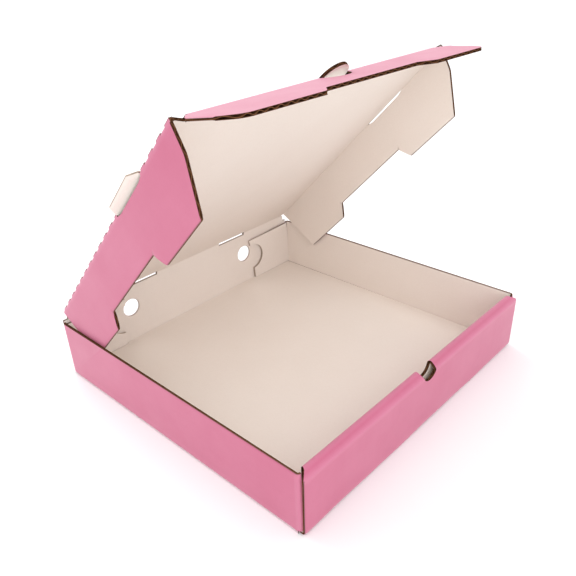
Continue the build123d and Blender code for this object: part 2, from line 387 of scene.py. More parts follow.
# Both liners and the fluted medium between them, folded and joined as one piece
def boardPiece(name, regions):
    outer = foldLayer(regions, half, False)
    inner = foldLayer(regions, -half, False)
    bmesh.ops.reverse_faces(inner, faces=inner.faces)
    layers = [
        sheetObject(name + "Print", outer, board["liner"], -1, [printedLiner, linerBack, linerCut]),
        sheetObject(name + "Inside", inner, board["liner"], -1, [bareLiner, linerBack, linerCut]),
        pressFlutes(foldLayer(regions, 0.0, True), name + "Medium"),
    ]
    return joinedMesh(name, layers)


def joinedMesh(name, objects):
    graph = bpy.context.evaluated_depsgraph_get()
    whole = bmesh.new()
    slots = []
    for source in objects:
        mesh = bpy.data.meshes.new_from_object(source.evaluated_get(graph))
        slots += [material for material in mesh.materials if material not in slots]
        used = [slots.index(material) for material in mesh.materials]
        for polygon in mesh.polygons:
            polygon.material_index = used[polygon.material_index]
        whole.from_mesh(mesh)
        bpy.data.meshes.remove(mesh)
    result = bpy.data.meshes.new(name)
    bmesh.ops.triangulate(whole, faces=[f for f in whole.faces if len(f.verts) > 4])
    whole.to_mesh(result)
    whole.free()
    for material in slots:
        result.materials.append(material)
    result.shade_smooth()
    result.set_sharp_from_angle(angle=math.radians(board["sharpAngle"]))
    for source in objects:
        bpy.data.objects.remove(source)
    piece = bpy.data.objects.new(name, result)
    bpy.context.scene.collection.objects.link(piece)
    print(name, "made,", sum(len(p.vertices) - 2 for p in result.polygons), "triangles")
    return piece


# Materials. Every pattern reads the sheet's own "blank" map, in metres on the flat board.
def shaderGroup(name, inputs, outputs):
    group = bpy.data.node_groups.new(name, "ShaderNodeTree")
    for label, kind, value in inputs:
        made = group.interface.new_socket(label, in_out="INPUT", socket_type=kind)
        made.default_value = value
    for label, kind in outputs:
        group.interface.new_socket(label, in_out="OUTPUT", socket_type=kind)
    return group, group.nodes.new("NodeGroupInput"), group.nodes.new("NodeGroupOutput")


def addNode(tree, kind, values=None, **settings):
    node = tree.nodes.new(kind)
    for key, value in settings.items():
        setattr(node, key, value)
    for key, value in (values or {}).items():
        node.inputs[key].default_value = value
    return node


# Paper: long fibres, soft patches of painted light and shade, faint painted shade along the flutes, and small
# specks
def makePaperGroup():
    group, given, out = shaderGroup(
        "paperFibre",
        [
            ("Base", "NodeSocketColor", (1, 1, 1, 1)),
            ("Shade", "NodeSocketColor", (0.8, 0.8, 0.8, 1)),
            ("Painted Light Patches", "NodeSocketFloat", 0.2),
            ("Fibre", "NodeSocketFloat", 0.2),
            ("Speck", "NodeSocketFloat", 0.1),
            ("Flute Shade And Bump", "NodeSocketFloat", 0.05),
        ],
        [("Color", "NodeSocketColor"), ("Height", "NodeSocketFloat"), ("Roughness", "NodeSocketFloat")],
    )
    link = group.links.new
    uv = addNode(group, "ShaderNodeUVMap", uv_map="blank")
    # soft noise patches that paint light and shade into the colour; the same noise sets the roughness
    paintedLightPatches = addNode(group, "ShaderNodeTexNoise", {"Scale": 28.0, "Detail": 4.0, "Roughness": 0.55})
    stretched = addNode(group, "ShaderNodeMapping", {"Scale": (1.0, 0.28, 1.0)})
    fibre = addNode(group, "ShaderNodeTexNoise", {"Scale": 1500.0, "Detail": 3.0, "Roughness": 0.6})
    speck = addNode(group, "ShaderNodeTexNoise", {"Scale": 620.0, "Detail": 2.0, "Roughness": 0.7})
    speckRange = addNode(group, "ShaderNodeMapRange", {"From Min": 0.62, "From Max": 0.78})
    link(uv.outputs["UV"], paintedLightPatches.inputs["Vector"])
    link(uv.outputs["UV"], stretched.inputs["Vector"])
    link(stretched.outputs["Vector"], fibre.inputs["Vector"])
    link(uv.outputs["UV"], speck.inputs["Vector"])
    link(speck.outputs["Fac"], speckRange.inputs["Value"])
    split = addNode(group, "ShaderNodeSeparateXYZ")
    link(uv.outputs["UV"], split.inputs["Vector"])
    # the flutes' cosine paints faint shade along the washboarding into the colour, and is also a bump
    turns = addNode(group, "ShaderNodeMath", {1: math.tau / (board["flutePitch"] * mm)}, operation="MULTIPLY")
    flute = addNode(group, "ShaderNodeMath", operation="COSINE")
    link(split.outputs["X"], turns.inputs[0])
    link(turns.outputs[0], flute.inputs[0])

    def scaled(source, centre, amount):
        shifted = addNode(group, "ShaderNodeMath", {1: centre}, operation="SUBTRACT")
        times = addNode(group, "ShaderNodeMath", operation="MULTIPLY")
        link(source, shifted.inputs[0])
        link(shifted.outputs[0], times.inputs[0])
        link(given.outputs[amount], times.inputs[1])
        return times.outputs[0]

    def added(first, second):
        total = addNode(group, "ShaderNodeMath", operation="ADD")
        link(first, total.inputs[0])
        link(second, total.inputs[1])
        return total.outputs[0]

    marks = added(scaled(paintedLightPatches.outputs["Fac"], 0.5, "Painted Light Patches"), scaled(fibre.outputs["Fac"], 0.5, "Fibre"))
    marks = added(marks, scaled(flute.outputs[0], 0.0, "Flute Shade And Bump"))
    marks = added(marks, scaled(speckRange.outputs["Result"], 0.0, "Speck"))
    clamped = addNode(group, "ShaderNodeClamp")
    halfWay = addNode(group, "ShaderNodeMath", {1: 0.5}, operation="ADD")
    link(marks, halfWay.inputs[0])
    link(halfWay.outputs[0], clamped.inputs["Value"])
    mix = addNode(group, "ShaderNodeMix", data_type="RGBA")
    link(clamped.outputs["Result"], mix.inputs["Factor"])
    link(given.outputs["Base"], mix.inputs["A"])
    link(given.outputs["Shade"], mix.inputs["B"])
    link(mix.outputs["Result"], out.inputs["Color"])
    height = added(scaled(fibre.outputs["Fac"], 0.5, "Fibre"), scaled(flute.outputs[0], 0.0, "Flute Shade And Bump"))
    link(height, out.inputs["Height"])
    rough = addNode(group, "ShaderNodeMapRange", {"From Min": 0.3, "From Max": 0.7})
    link(paintedLightPatches.outputs["Fac"], rough.inputs["Value"])
    link(rough.outputs["Result"], out.inputs["Roughness"])
    return group


def paperMaterial(name, settings):
    material = bpy.data.materials.new(name)
    material.use_nodes = True
    tree = material.node_tree
    shader = tree.nodes["Principled BSDF"]
    shader.inputs["Specular IOR Level"].default_value = settings["specular"]
    shader.inputs["Sheen Weight"].default_value = settings.get("sheen", 0.0)
    shader.inputs["Sheen Roughness"].default_value = 0.45
    paper = addNode(tree, "ShaderNodeGroup", node_tree=paperGroup)
    paper.inputs["Base"].default_value = (*settings["base"], 1)
    paper.inputs["Shade"].default_value = (*settings["shade"], 1)
    strengths = {"Painted Light Patches": "paintedLightPatches", "Fibre": "fibre", "Speck": "speck", "Flute Shade And Bump": "fluteShadeAndBump"}
    for label, key in strengths.items():
        paper.inputs[label].default_value = settings[key]
    # paints light and shade: along the folds, a highlight on the print and shade on the inside liner; on the
    # cut layers, light over their shaded edges
    paintedLightMix = addNode(tree, "ShaderNodeMix", {"B": (*settings["markColour"], 1)}, data_type="RGBA")
    crease = addNode(tree, "ShaderNodeAttribute", attribute_name=settings["mark"])
    creaseAmount = addNode(tree, "ShaderNodeMath", {1: settings["markShow"]}, operation="MULTIPLY")
    tree.links.new(crease.outputs["Fac"], creaseAmount.inputs[0])
    tree.links.new(creaseAmount.outputs[0], paintedLightMix.inputs["Factor"])
    tree.links.new(paper.outputs["Color"], paintedLightMix.inputs["A"])
    # near crushed edges: the cut's own brown, with painted shade along the edge
    edgeBrownedAndShaded = addNode(tree, "ShaderNodeMix", {"B": (0.10, 0.04, 0.02, 1)}, data_type="RGBA")
    edgeBrownAndShade = addNode(tree, "ShaderNodeAttribute", attribute_name="edgeBrownAndShade")
    edgeBrownAndShadeAmount = addNode(tree, "ShaderNodeMath", {1: settings["edgeBrownAndShadeShow"]}, operation="MULTIPLY")
    tree.links.new(edgeBrownAndShade.outputs["Fac"], edgeBrownAndShadeAmount.inputs[0])
    tree.links.new(edgeBrownAndShadeAmount.outputs[0], edgeBrownedAndShaded.inputs["Factor"])
    tree.links.new(paintedLightMix.outputs["Result"], edgeBrownedAndShaded.inputs["A"])
    tree.links.new(edgeBrownedAndShaded.outputs["Result"], shader.inputs["Base Color"])
    low, high = settings["roughness"]
    rough = addNode(tree, "ShaderNodeMapRange", {"To Min": low, "To Max": high})
    tree.links.new(paper.outputs["Roughness"], rough.inputs["Value"])
    tree.links.new(rough.outputs["Result"], shader.inputs["Roughness"])
    bump = addNode(tree, "ShaderNodeBump", {"Strength": settings["bump"], "Distance": 0.0002})
    tree.links.new(paper.outputs["Height"], bump.inputs["Height"])
    tree.links.new(bump.outputs["Normal"], shader.inputs["Normal"])
    return material


paperGroup = makePaperGroup()
fluteTree = makeFluteTree()
printedLiner = paperMaterial("printedLiner", {
    "base": (0.565, 0.135, 0.245),
    "shade": (0.50, 0.10, 0.193),
    "mark": "crease",
    # painted highlight along the folds
    "markColour": (0.62, 0.22, 0.33),
    "markShow": 0.5,
    "edgeBrownAndShadeShow": 0.9,
    "paintedLightPatches": 0.9,
    "fibre": 0.35,
    "speck": 0.1,
    "fluteShadeAndBump": 0.02,
    "roughness": (0.45, 0.58),
    "specular": 0.5,
    "sheen": 0.3,
    "bump": 0.2,
})
bareLiner = paperMaterial("bareLiner", {
    "base": (0.87, 0.80, 0.74),
    "shade": (0.81, 0.725, 0.66),
    "mark": "crease",
    # painted shade along the folds
    "markColour": (0.75, 0.66, 0.60),
    "markShow": 0.3,
    "edgeBrownAndShadeShow": 0.9,
    "paintedLightPatches": 0.5,
    "fibre": 0.8,
    "speck": 0.5,
    "fluteShadeAndBump": 0.015,
    "roughness": (0.82, 0.92),
    "specular": 0.2,
    "bump": 0.3,
})
# The cut layers' mark colours are light beige, painted over their shaded edges where the edge light mark is
# set
linerBack = paperMaterial("linerBack", {
    "base": (0.16, 0.075, 0.036),
    "shade": (0.08, 0.034, 0.016),
    "mark": "paintedEdgeLight",
    "markColour": (0.66, 0.55, 0.46),
    "markShow": 1.0,
    "edgeBrownAndShadeShow": 0.0,
    "paintedLightPatches": 0.5,
    "fibre": 1.0,
    "speck": 0.4,
    "fluteShadeAndBump": 0.0,
    "roughness": (0.85, 0.95),
    "specular": 0.1,
    "bump": 0.5,
})
linerCut = paperMaterial("linerCut", {
    "base": (0.12, 0.045, 0.022),
    "shade": (0.05, 0.018, 0.009),
    "mark": "paintedEdgeLight",
    "markColour": (0.66, 0.56, 0.48),
    "markShow": 1.0,
    "edgeBrownAndShadeShow": 0.0,
    "paintedLightPatches": 0.5,
    "fibre": 1.2,
    "speck": 0.6,
    "fluteShadeAndBump": 0.0,
    "roughness": (0.85, 0.95),
    "specular": 0.1,
    "bump": 0.6,
})
fluteMedium = paperMaterial("fluteMedium", {
    "base": (0.22, 0.10, 0.045),
    "shade": (0.12, 0.05, 0.022),
    "mark": "paintedEdgeLight",
    "markColour": (0.60, 0.49, 0.40),
    "markShow": 1.0,
    "edgeBrownAndShadeShow": 0.0,
    "paintedLightPatches": 0.5,
    "fibre": 1.0,
    "speck": 0.5,
    "fluteShadeAndBump": 0.0,
    "roughness": (0.85, 0.95),
    "specular": 0.1,
    "bump": 0.5,
})
print("materials made")

# Tray: one column from the rolled front over the floor to the back wall, and a side wall with ears each side
tray = {
    "width": 229.0,
    "depth": 226.0,
    "sideHeight": 42.0,
    "panelInset": 0.8,
    "backInset": 1.5,
    "frontHeight": 42.0,
    "frontLean": 0.8,
    "bandAngle": 35.0,
    "rollEndInset": 4.5,
    "notchRadius": 7.5,
    "tabCentre": 62.0,
    "tabWidth": 26.0,
    "tabDrop": 2.0,
    "slotClear": 0.3,
    "frontEarLength": 44.0,
    "frontEarDrop": 5.6,
    "frontEarCorner": 6.0,
    "rearEarLength": 50.0,
    "rearEarFoot": 45.0,
    "rearEarDrop": 1.0,
    "rearEarTipDrop": 2.6,
    "biteRadius": 11.3,
    "biteHeight": 23.4,
    "biteInset": 46.3,
    "ventRadius": 7.0,
    "ventSpacing": 118.0,
    "ventHeight": 29.0,
    "layerGap": 0.2,
    "hingeGap": 0.35,
    "hingeSlot": (32.0, 60.5, 1.0),  # inner end, outer end and depth
    "slit": 0.3,
    "backShoulder": (109.4, 43.0),
    "openTop": 46.0,
    "waveLift": 0.9,
    "waveReach": 24.0,
    "waves": ((0.32, 96, 0.6), (0.18, 41, 2.0)),  # share of the lift, length and shift in radians
    "waveStep": 9.0,
    "ventRings": (0.7, 1.4, 2.2),  # extra radius of each ring of edges around a vent
    # Painted light over the shaded cut edges and inner layers of the back wall and the rear ears
    "backPaintedLight": 0.55,
    "backPaintedLightFrom": 6.0,
    "backPaintedLightInset": 1.0,
    "earPaintedLight": 0.85,
    "earPaintedLightFrom": 4.0,
}
layer = board["thickness"] + tray["layerGap"]
halfWidth = tray["width"] / 2
halfDepth = tray["depth"] / 2
wallMid = halfWidth - half
frontEarY = -halfDepth + tray["frontLean"] + layer + half
rollY = frontEarY + layer
rearEarY = halfDepth - layer - half
hingeY = halfDepth - half
floorEdge = wallMid - bend
sideFrontY = frontEarY + bend
sideRearY = rearEarY - bend
bandRun = rollY + halfDepth - half
crest = tray["frontHeight"] - bend - half + bend / math.tan(math.radians((90 - tray["bandAngle"]) / 2))
shoulder = crest - bandRun * math.tan(math.radians(tray["bandAngle"]))
wallTop = joints["lid_hinge"]["pos_m"][2] / mm - half - tray["hingeGap"]

columnChain = foldChain([
    (rollY, layer),
    (rollY, crest),
    (-halfDepth + half, shoulder),
    (-halfDepth + tray["frontLean"] + half, half),
    (hingeY, half),
    (hingeY, wallTop),
], -1)
# Straight runs of the column, which alternate with its bends: the roll's inner panel, the front and the floor
innerRun, outerRun, floorRun = 0, 4, 6
floorStart, floorOrigin = columnChain["runs"][floorRun][:2]
columnZero = floorStart - floorOrigin.x
sideChain = foldChain([(0, half), (wallMid, half), (wallMid, tray["sideHeight"])], -1)
rearEarTip = halfWidth - tray["rearEarLength"]
frontEarTip = halfWidth - tray["frontEarLength"]
rearEarChain = foldChain([(wallMid, 0), (wallMid, rearEarY), (rearEarTip, rearEarY)], -1)
frontEarChain = foldChain([(wallMid, 0), (wallMid, frontEarY), (frontEarTip, frontEarY)], 1)


# Share of the painted highlight and shade at a distance from the nearest fold
def nearCrease(distance, corners, width=2.2):
    return max([max(0.0, 1 - abs(distance - corner) / width) for corner in corners] + [0.0])


def withShoulders(chain, shift=0.0, reach=2.4):
    extra = [corner + side * reach for corner in chain["corners"] for side in (-1, 1)]
    return [c + shift for c in chain["cuts"] + extra]


def onSide(side, lines):
    return [tuple((side * x, y) for x, y in line) for line in lines]


# The bottom of the front wall lifts a little in long waves, as handled board does
def frontWave(x, y):
    near = max(0.0, 1 - abs(y + columnZero - columnChain["corners"][2]) / tray["waveReach"])
    angles = [(share, x * math.tau / length + shift) for share, length, shift in tray["waves"]]
    wave = 0.5 + sum(share * math.sin(angle) for share, angle in angles)
    return tray["waveLift"] * wave * near * near * (3 - 2 * near)


def placeColumn(x, y, offset):
    point = alongChain(columnChain, y + columnZero, offset)
    return Vector((x, point.x, point.y + frontWave(x, y)))


def placeSide(side):
    def place(x, y, offset):
        across = alongChain(sideChain, abs(x), offset)
        if sideFrontY <= y <= sideRearY:
            return Vector((side * across.x, y, across.y))
        if y > sideRearY:
            along = alongChain(rearEarChain, y, offset)
        else:
            along = alongChain(frontEarChain, -y, offset)
        return Vector((side * along.x, along.y, across.y))
    return place


def columnRegion():
    front, end = -columnZero, columnChain["total"] - columnZero
    crestAt, shoulderAt, foldY = (corner - columnZero for corner in columnChain["corners"][:3])
    wide = halfWidth - tray["panelInset"]
    backWide = halfWidth - tray["backInset"]
    shoulderY = onLastRun(columnChain, 1, tray["backShoulder"][1]) - columnZero
    rollHalf = halfWidth - board["thickness"] - tray["rollEndInset"]
    tabs = [tray["tabCentre"] + side * tray["tabWidth"] / 2 for side in (-1, 1)]
    slotInner, slotOuter, slotCut = tray["hingeSlot"]
    right = [
        (tabs[0], front),
        (tabs[0], front - tray["tabDrop"]),
        (tabs[1], front - tray["tabDrop"]),
        (tabs[1], front),
        (rollHalf, front),
        (rollHalf, crestAt),
        (wide, shoulderAt),
        (wide, sideFrontY - tray["slit"]),
        (floorEdge, sideFrontY - tray["slit"]),
        (floorEdge, sideFrontY),
        (floorEdge, sideRearY),
        (floorEdge, sideRearY + tray["slit"]),
        (backWide, sideRearY + tray["slit"]),
        (backWide, shoulderY),
        (tray["backShoulder"][0], shoulderY),
        (tray["backShoulder"][0], end),
        (slotOuter, end),
        (slotOuter, end - slotCut),
        (slotInner, end - slotCut),
        (slotInner, end),
    ]
    holes, guides, crushed = [], [], []
    waveCount = int(halfWidth / tray["waveStep"])
    waveCuts = [-floorEdge, floorEdge] + [k * tray["waveStep"] for k in range(-waveCount, waveCount + 1)]
    foldCuts = [foldY + k * tray["waveStep"] for k in (-2, -1, 1, 2)]
    ventY = onLastRun(columnChain, 1, tray["ventHeight"]) - columnZero
    for side in (-1, 1):
        vent = (side * tray["ventSpacing"] / 2, ventY)
        rim = arcPoints(vent, tray["ventRadius"], 0, 360, 36)
        holes.append(rim[:-1])
        crushed += list(zip(rim[::2], rim[2::2]))
        guides += [arcPoints(vent, tray["ventRadius"] + ring, 0, 360, 24) for ring in tray["ventRings"]]
        crushed += onSide(side, [
            ((wide, shoulderAt), (wide, sideFrontY - tray["slit"])),
            ((backWide, sideRearY + tray["slit"]), (backWide, shoulderY)),
        ])
        slotMid = side * tray["tabCentre"]
        low = (slotMid - tray["tabWidth"] / 2 - tray["slotClear"], rollY - half - tray["slotClear"])
        high = (slotMid + tray["tabWidth"] / 2 + tray["slotClear"], rollY + half + tray["slotClear"])
        holes.append([low, (high[0], low[1]), high, (low[0], high[1])])
    holes.append(notchOutline())

    # Painted light over the back wall's shaded cut edges and inner layers
    def paintedEdgeLight(x, y):
        inside = y > sideRearY + tray["backPaintedLightFrom"] and abs(x) < backWide - tray["backPaintedLightInset"]
        return tray["backPaintedLight"] if inside else 0.0

    return {
        "outline": right + mirrored(right),
        "holes": holes,
        "guides": guides,
        "crushed": crushed,
        "place": placeColumn,
        "crease": lambda x, y: nearCrease(y + columnZero, columnChain["corners"]),
        "paintedEdgeLight": paintedEdgeLight,
        "cuts": (waveCuts, withShoulders(columnChain, -columnZero) + foldCuts),
    }


# The thumb notch is one round cut through the outer panel, the band and the inner panel
def notchOutline():
    lowest = tray["frontHeight"] - tray["notchRadius"]
    inner = columnChain["runs"][innerRun]
    outer = columnChain["runs"][outerRun]
    fromY = inner[0] + (lowest - inner[1].y) / inner[2].y - columnZero
    toY = outer[0] + (lowest - outer[1].y) / outer[2].y - columnZero
    edge = []
    steps = 40
    for k in range(steps + 1):
        y = fromY + (toY - fromY) * (1 - math.cos(math.pi * k / steps)) / 2
        drop = tray["frontHeight"] - alongChain(columnChain, y + columnZero, 0).y
        edge.append((math.sqrt(max(tray["notchRadius"] ** 2 - drop ** 2, 0.0)), y))
    return edge + [(-x, y) for x, y in reversed(edge[1:-1])]


def sideRegion(side):
    def across(z):
        return floorEdge + quarterArc + z - half - bend

    def rear(x):
        return sideRearY + quarterArc + floorEdge - x

    def front(x):
        return sideFrontY - quarterArc - floorEdge + x

    top = tray["sideHeight"]
    corner = tray["frontEarCorner"]
    earTop = top - tray["frontEarDrop"]
    outline = [
        (floorEdge, sideFrontY),
        (across(layer), sideFrontY),
        (across(layer), front(frontEarTip + corner / 2)),
        (across(layer + corner), front(frontEarTip)),
        (across(earTop - corner), front(frontEarTip)),
        (across(earTop), front(frontEarTip + corner)),
        (across(earTop), front(floorEdge - half)),
        (across(top), front(floorEdge - half / 3)),
        (across(top), rear(floorEdge)),
        (across(top - tray["rearEarDrop"]), rear(floorEdge)),
    ]
    tipTop = top - tray["rearEarTipDrop"]
    footTip = halfWidth - tray["rearEarFoot"]
    centre = (halfWidth - tray["biteInset"], tray["biteHeight"])
    outline.append((across(tipTop), rear(rearEarTip)))
    for x, z in arcPoints(centre, tray["biteRadius"], 120, -120, 30):
        tipAt = rearEarTip + (footTip - rearEarTip) * (tipTop - z) / tipTop
        if x >= tipAt:
            outline.append((across(z), rear(x)))
    outline.append((across(layer), rear(footTip - (footTip - rearEarTip) * layer / tipTop)))
    outline += [(across(layer), sideRearY), (floorEdge, sideRearY)]
    crushed = [
        ((across(top), front(floorEdge)), (across(top), rear(floorEdge) - tray["openTop"])),
        ((across(earTop), front(frontEarTip + corner)), (across(earTop), front(floorEdge - half))),
        ((across(top - tray["rearEarDrop"]), rear(floorEdge)), (across(tipTop), rear(rearEarTip))),
    ]
    creaseX = sideChain["corners"][0]
    creaseY = [-frontEarChain["corners"][0], rearEarChain["corners"][0]]
    cutsX = [side * c for c in withShoulders(sideChain)] + [side * across(layer)]
    cutsY = withShoulders(rearEarChain) + [-c for c in withShoulders(frontEarChain)] + [sideFrontY, sideRearY]
    return {
        "outline": [(side * x, y) for x, y in outline],
        "crushed": onSide(side, crushed),
        "place": placeSide(side),
        # painted light over the rear ear's shaded cut edges
        "paintedEdgeLight": lambda x, y: tray["earPaintedLight"] if y > rear(floorEdge - tray["earPaintedLightFrom"]) else 0.0,
        "crease": lambda x, y: max(nearCrease(abs(x), [creaseX]), nearCrease(y, creaseY)),
        "cuts": (cutsX, cutsY),
    }


trayBoard = boardPiece("trayBoard", [columnRegion(), sideRegion(1), sideRegion(-1)])
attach(trayBoard, "tray")
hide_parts("tray")

# Lid: the panel with its cut-and-scored side folds, its vent tabs and pull tab, and a side flap each side
lid = {
    "sideClear": 0.7,
    "tuckClear": 0.7,
    "creaseReach": 1.6,
    "reliefWidth": 4.0,
    "flapDepth": 41.6,
    "waistDepth": 31.8,
    "heelClear": 0.4,
    "heelRake": 10.4,
    "waistRear": 60.5,
    "waistRearRun": 7.8,
    "waistLength": 89.5,
    "waistFrontRun": 6.0,
    "kneeDepth": 16.4,
    "kneeRun": 4.6,
    "toeRun": 21.5,
    "kneeRadius": 14.0,
    "cornerRadius": 1.0,
    "scorePitch": 11.5,
    "scoreCut": 5.8,
    "scoreFirst": 7.5,
    "ventCentre": 155.0,
    "ventBase": 40.0,
    "ventTip": 30.0,
    "ventLength": 6.6,
    "ventTilt": 30.0,
    "ventSlot": 1.2,
    "pullRadius": 10.5,
    "foldInset": 10.0,
    "kerf": 0.4,
    "lugDepth": 2.4,
    "toothOverlap": 0.3,
    # painted highlight and shade over each tooth
    "toothLightAndShade": 0.4,
    "ventRootOut": 0.4,
    "ventCrushFrom": 0.4,
    # painted light over the vent tabs' shaded cut edges
    "ventPaintedLight": 0.9,
    # where the panel's painted highlight and shade begin beside the side folds, and how far they run
    "foldLightFrom": 1.0,
    "foldLightReach": 2.4,
    # painted highlight and shade over the crease strips
    "stripLightAndShade": 0.7,
}
lidHalf = halfWidth - board["thickness"] - lid["sideClear"]
lidFlapMid = lidHalf - half
lidFlat = lidFlapMid - bend
lidLength = hingeY - (rollY + half + lid["tuckClear"] + half)
foldHalf = lidHalf - lid["foldInset"]
hingePoint = Vector(joints["lid_hinge"]["pos_m"])
flapPoint = Vector(joints["front_flap_fold"]["pos_m"])
openAngle = math.atan2(flapPoint.z - hingePoint.z, hingePoint.y - flapPoint.y)
lidPlace = Matrix.Translation(hingePoint / mm) @ Matrix.Rotation(-openAngle, 4, "X")
lidChain = foldChain([(0, 0), (lidFlapMid, 0), (lidFlapMid, half - lid["flapDepth"])], 1)
slitX = lidFlat + quarterArc
ventRoot = lidFlat + lid["ventRootOut"]
ventRise = math.radians(lid["ventTilt"])
ventChain = foldChain([
    (0, 0),
    (ventRoot, 0),
    (ventRoot + lid["ventLength"] * math.cos(ventRise), lid["ventLength"] * math.sin(ventRise)),
], 1)


# The side fold from rear to front, as stretches that are scored or cut through, and the vent tab's base
def foldStretches():
    vent = (lid["ventCentre"] - lid["ventBase"] / 2, lid["ventCentre"] + lid["ventBase"] / 2)
    stretches, at = [], lid["creaseReach"]
    centre = lid["scoreFirst"]
    while centre < lidLength:
        low, high = centre - lid["scoreCut"] / 2, centre + lid["scoreCut"] / 2
        if low <= vent[0] <= high:
            stretches += [("scored", at, low), ("cut", low, vent[0]), ("vent", *vent)]
            at = vent[1]
        elif high > vent[1] and low < vent[1]:
            stretches.append(("cut", at, high))
            at = high
        elif high < vent[0] or low > vent[1]:
            if low > at:
                stretches.append(("scored", at, low))
            stretches.append(("cut", max(low, at), high))
            at = high
        centre += lid["scorePitch"]
    return stretches + [("scored", at, lidLength + half)]


# Lines across the lid where its flaps' corners are, shared by all of its regions so that their edges meet
def lidCuts():
    waistFront = lid["waistRear"] + lid["waistLength"]
    corners = [
        half + lid["heelClear"] + lid["heelRake"],
        lid["waistRear"],
        lid["waistRear"] + lid["waistRearRun"],
        waistFront - lid["waistFrontRun"],
        waistFront,
        lidLength + half - lid["toeRun"],
    ]
    beside = [corner + side * board["crushReach"] for corner in corners for side in (-1, 1)]
    return [-c for c in beside + [s[1] for s in foldStretches()]]


def onLid(x, y, z):
    return lidPlace @ Vector((x, y, z))


# Place function for a flap or tab that bends off one side of the lid
def placeOffLid(chain, side):
    def place(x, y, offset):
        point = alongChain(chain, abs(x), offset)
        return onLid(side * point.x, y, point.y)
    return place


def panelRegion():
    stretches = foldStretches()
    lug = lidLength - lid["lugDepth"]
    front = lidLength - lid["creaseReach"]
    right = []
    for kind, low, high in stretches:
        x = lidFlat + lid["toothOverlap"] if kind == "cut" else lidFlat
        right += [(lidFlat, -low), (x, -low), (x, -high), (lidFlat, -high)]
    right = [p for k, p in enumerate(right) if k == 0 or p != right[k - 1]]
    right += [
        (foldHalf + lid["kerf"], -lug),
        (foldHalf - lid["kerf"], -lug),
        (foldHalf - lid["kerf"], -front),
        (lid["pullRadius"], -front),
    ]
    right += arcPoints((0, -lidLength), lid["pullRadius"], 0, -90, 12)
    foldCuts = [side * (lidFlat - reach) for side in (-1, 1) for reach in (0.0, lid["creaseReach"])]
    return {
        "outline": right + mirrored(right)[1:],
        "place": onLid,
        # painted highlight and shade beside the side folds
        "crease": lambda x, y: max(0.0, 1 - (lidFlat + lid["foldLightFrom"] - abs(x)) / lid["foldLightReach"]),
        "cuts": (foldCuts, lidCuts()),
    }


def sideFlapRegion(side):
    stretches = foldStretches()

    def down(z):
        return slitX - bend - z

    foot = half - lid["flapDepth"]
    waist = half - lid["waistDepth"]
    fold = lidLength + half
    waistRear = lid["waistRear"]
    waistFront = waistRear + lid["waistLength"]
    waistFrom, waistTo = waistRear + lid["waistRearRun"], waistFront - lid["waistFrontRun"]
    heel = lid["heelClear"] + half
    radius = lid["cornerRadius"]
    lower = roundCorners([
        (half, -heel),
        (foot, -heel - lid["heelRake"]),
        (foot, -waistRear),
        (waist, -waistFrom),
        (waist, -waistTo),
        (foot, -waistFront),
        (foot, -fold + lid["toeRun"]),
        (half - lid["kneeDepth"], -fold + lid["kneeRun"]),
        (half, -fold),
    ], [radius] * 6 + [lid["kneeRadius"]])
    outline = [(down(z), y) for z, y in lower[1:-1]]
    slotX = down(-half - lid["ventSlot"])
    sideStep = (lid["ventBase"] - lid["ventTip"]) / 2
    upper = []
    for kind, low, high in stretches:
        x = lidFlat if kind == "scored" else slitX
        upper.append((x, -low))
        if kind == "vent":
            upper += [(slotX, -low - sideStep), (slotX, -high + sideStep)]
        upper.append((x, -high))
    whole = []
    for point in outline + list(reversed(upper)):
        if not whole or math.dist(whole[-1], point) > board["samePoint"]:
            whole.append(point)
    beside = [down(waist) - board["crushReach"], down(foot) - board["crushReach"]]
    crushed = [
        ((down(foot), -heel - lid["heelRake"]), (down(foot), -waistRear)),
        ((down(waist), -waistFrom), (down(waist), -waistTo)),
        ((down(foot), -waistFront), (down(foot), -fold + lid["toeRun"])),
    ]
    return {
        "outline": [(side * x, y) for x, y in whole],
        "crushed": onSide(side, crushed),
        "place": placeOffLid(lidChain, side),
        "crease": lambda x, y: nearCrease(abs(x), lidChain["corners"]),
        "cuts": ([side * c for c in withShoulders(lidChain) + beside], lidCuts()),
    }


# Where the fold is cut through, the flap stands straight up to the lid's outer face
def toothRegions(side):
    top = slitX - bend - half

    def place(x, y, offset):
        return onLid(side * (lidFlapMid + offset), y, slitX - bend - abs(x))

    return [
        {
            "outline": [(side * top, -low), (side * slitX, -low), (side * slitX, -high), (side * top, -high)],
            "crushed": [((side * top, -low), (side * top, -high))],
            "place": place,
            # painted highlight and shade over the whole tooth
            "crease": lambda x, y: lid["toothLightAndShade"],
            "cuts": ([], lidCuts()),
        }
        for kind, low, high in foldStretches() if kind == "cut"
    ]


# Vent tab, bent up from the panel's edge
def ventTabRegion(side):
    base, tip = lid["ventBase"] / 2, lid["ventTip"] / 2
    wide = onLastRun(ventChain, 0, lidHalf)
    end = ventChain["total"]
    middle = -lid["ventCentre"]
    outline = [
        (lidFlat, middle - base),
        (wide, middle - base),
        (end, middle - tip),
        (end, middle + tip),
        (wide, middle + base),
        (lidFlat, middle + base),
    ]
    crushFrom = wide + lid["ventCrushFrom"]
    crushed = [((end, middle - tip), (end, middle + tip))]
    crushed += [((crushFrom, middle + sign * base), (end, middle + sign * tip)) for sign in (-1, 1)]
    return {
        "outline": [(side * x, y) for x, y in outline],
        "crushed": onSide(side, crushed),
        "place": placeOffLid(ventChain, side),
        "crease": lambda x, y: nearCrease(abs(x), ventChain["corners"]),
        # painted light over the vent tab's shaded cut edges
        "paintedEdgeLight": lambda x, y: lid["ventPaintedLight"],
        "cuts": ([side * c for c in ventChain["cuts"]], lidCuts()),
    }


